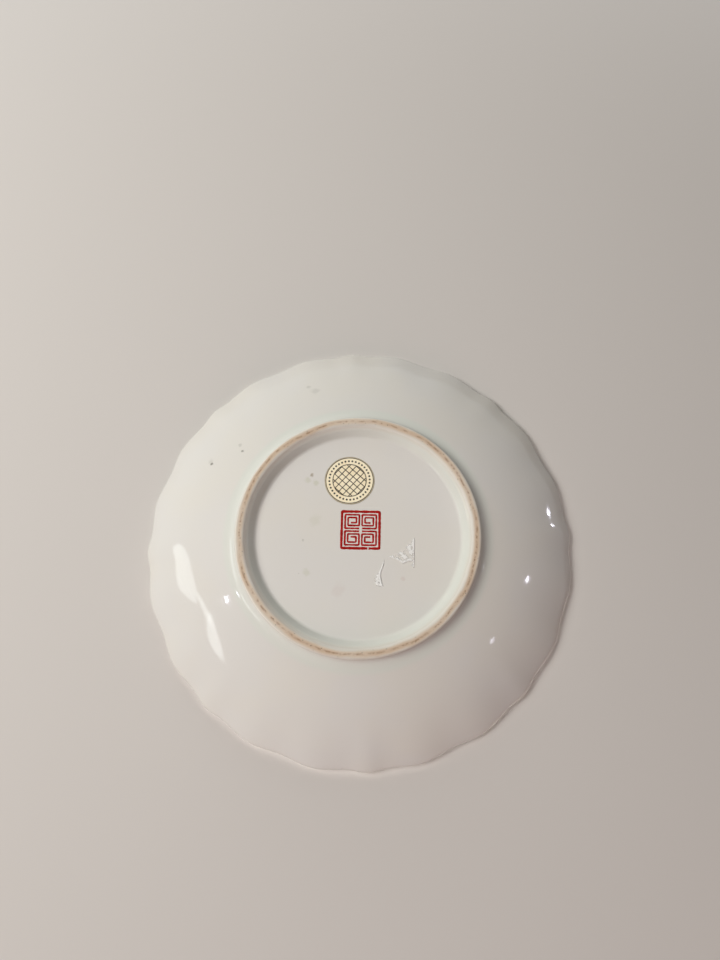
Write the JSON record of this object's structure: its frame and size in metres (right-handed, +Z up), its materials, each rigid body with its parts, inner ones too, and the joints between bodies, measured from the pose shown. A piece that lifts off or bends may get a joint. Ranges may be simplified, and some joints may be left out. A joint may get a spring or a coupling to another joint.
{
  "type": "scalloped dessert plate",
  "caption": "Round glazed porcelain dessert plate with a softly fluted, scalloped rim on a bare-treaded foot ring, with a red enamel seal and a gold foil label under its base.",
  "frame": {"origin": "centre of the foot ring, on the plane the plate stands on", "axes": "+Z up, out of the face of the plate; +X through the tip of a narrow lobe; the label lies on the +Y side of the base"},
  "size_m": [0.1608, 0.1608, 0.0218],
  "materials": {
    "porcelain": "bare fired porcelain, tan and speckled on the worn tread",
    "glaze": "clear gloss glaze over white porcelain",
    "red_enamel": "fired overglaze enamel, satin",
    "gold_foil": "pale gold metallised paper",
    "black_ink": "printed ink film",
    "clear_film": "torn clear film, crumpled at its edges"
  },
  "bodies": {
    "root": {"porcelain_body": "porcelain", "outer_glaze": "glaze", "base_glaze": "glaze", "seal_mark": "red_enamel", "foil_label": "gold_foil", "label_print": "black_ink", "film_scrap_wide": "clear_film", "film_scrap_narrow": "clear_film"}
  },
  "joints": []
}
